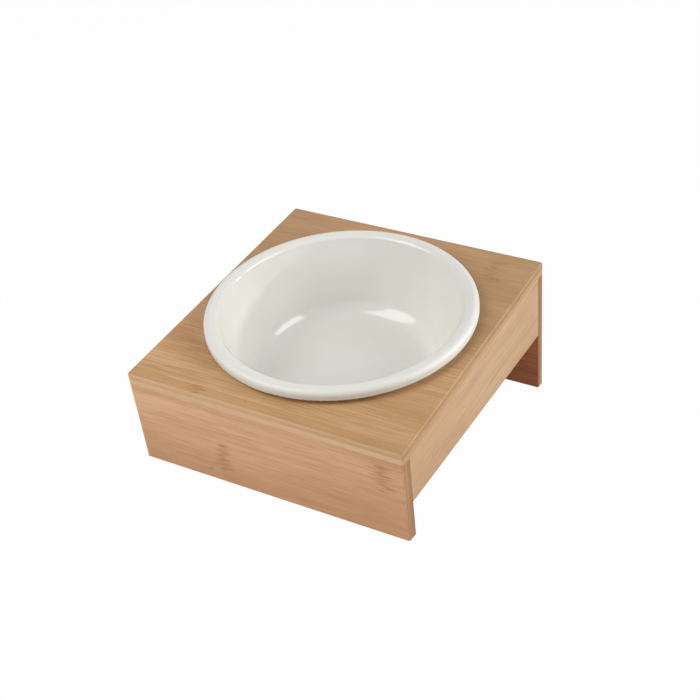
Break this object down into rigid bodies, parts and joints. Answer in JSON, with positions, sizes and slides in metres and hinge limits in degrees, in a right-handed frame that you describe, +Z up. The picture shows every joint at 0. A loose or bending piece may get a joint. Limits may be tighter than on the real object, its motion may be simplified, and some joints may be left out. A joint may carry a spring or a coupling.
{
  "type": "pet bowl with stand",
  "caption": "Ceramic pet bowl with a thick rolled lip, seated in the round hole of a sloping bamboo stand that is low at the front and high at the back; the bowl lifts out.",
  "frame": {"origin": "on the floor, in the middle of the stand's footprint", "axes": "+X to the right seen from the front, +Y from the low front to the high back, +Z up"},
  "size_m": [0.172, 0.1966, 0.0971],
  "materials": {
    "bamboo_top": "satin lacquered bamboo",
    "bamboo_leg": "satin lacquered bamboo",
    "bamboo_rail": "satin lacquered bamboo",
    "dowel_wood": "bare hardwood",
    "glazed_white": "glossy ivory-white glaze"
  },
  "bodies": {
    "stand": {"top_board": "bamboo_top", "front_leg": "bamboo_leg", "rear_leg": "bamboo_leg", "left_rail": "bamboo_rail", "right_rail": "bamboo_rail", "front_leg_dowels": "dowel_wood", "rear_leg_dowels": "dowel_wood", "left_rail_dowels": "dowel_wood", "right_rail_dowels": "dowel_wood"},
    "bowl": {"bowl": "glazed_white"}
  },
  "joints": [
    {"name": "bowl_lift", "type": "slide", "parent": "stand", "child": "bowl", "axis": [0, -0.165, 0.9863], "range_m": [0, 0.06]}
  ]
}
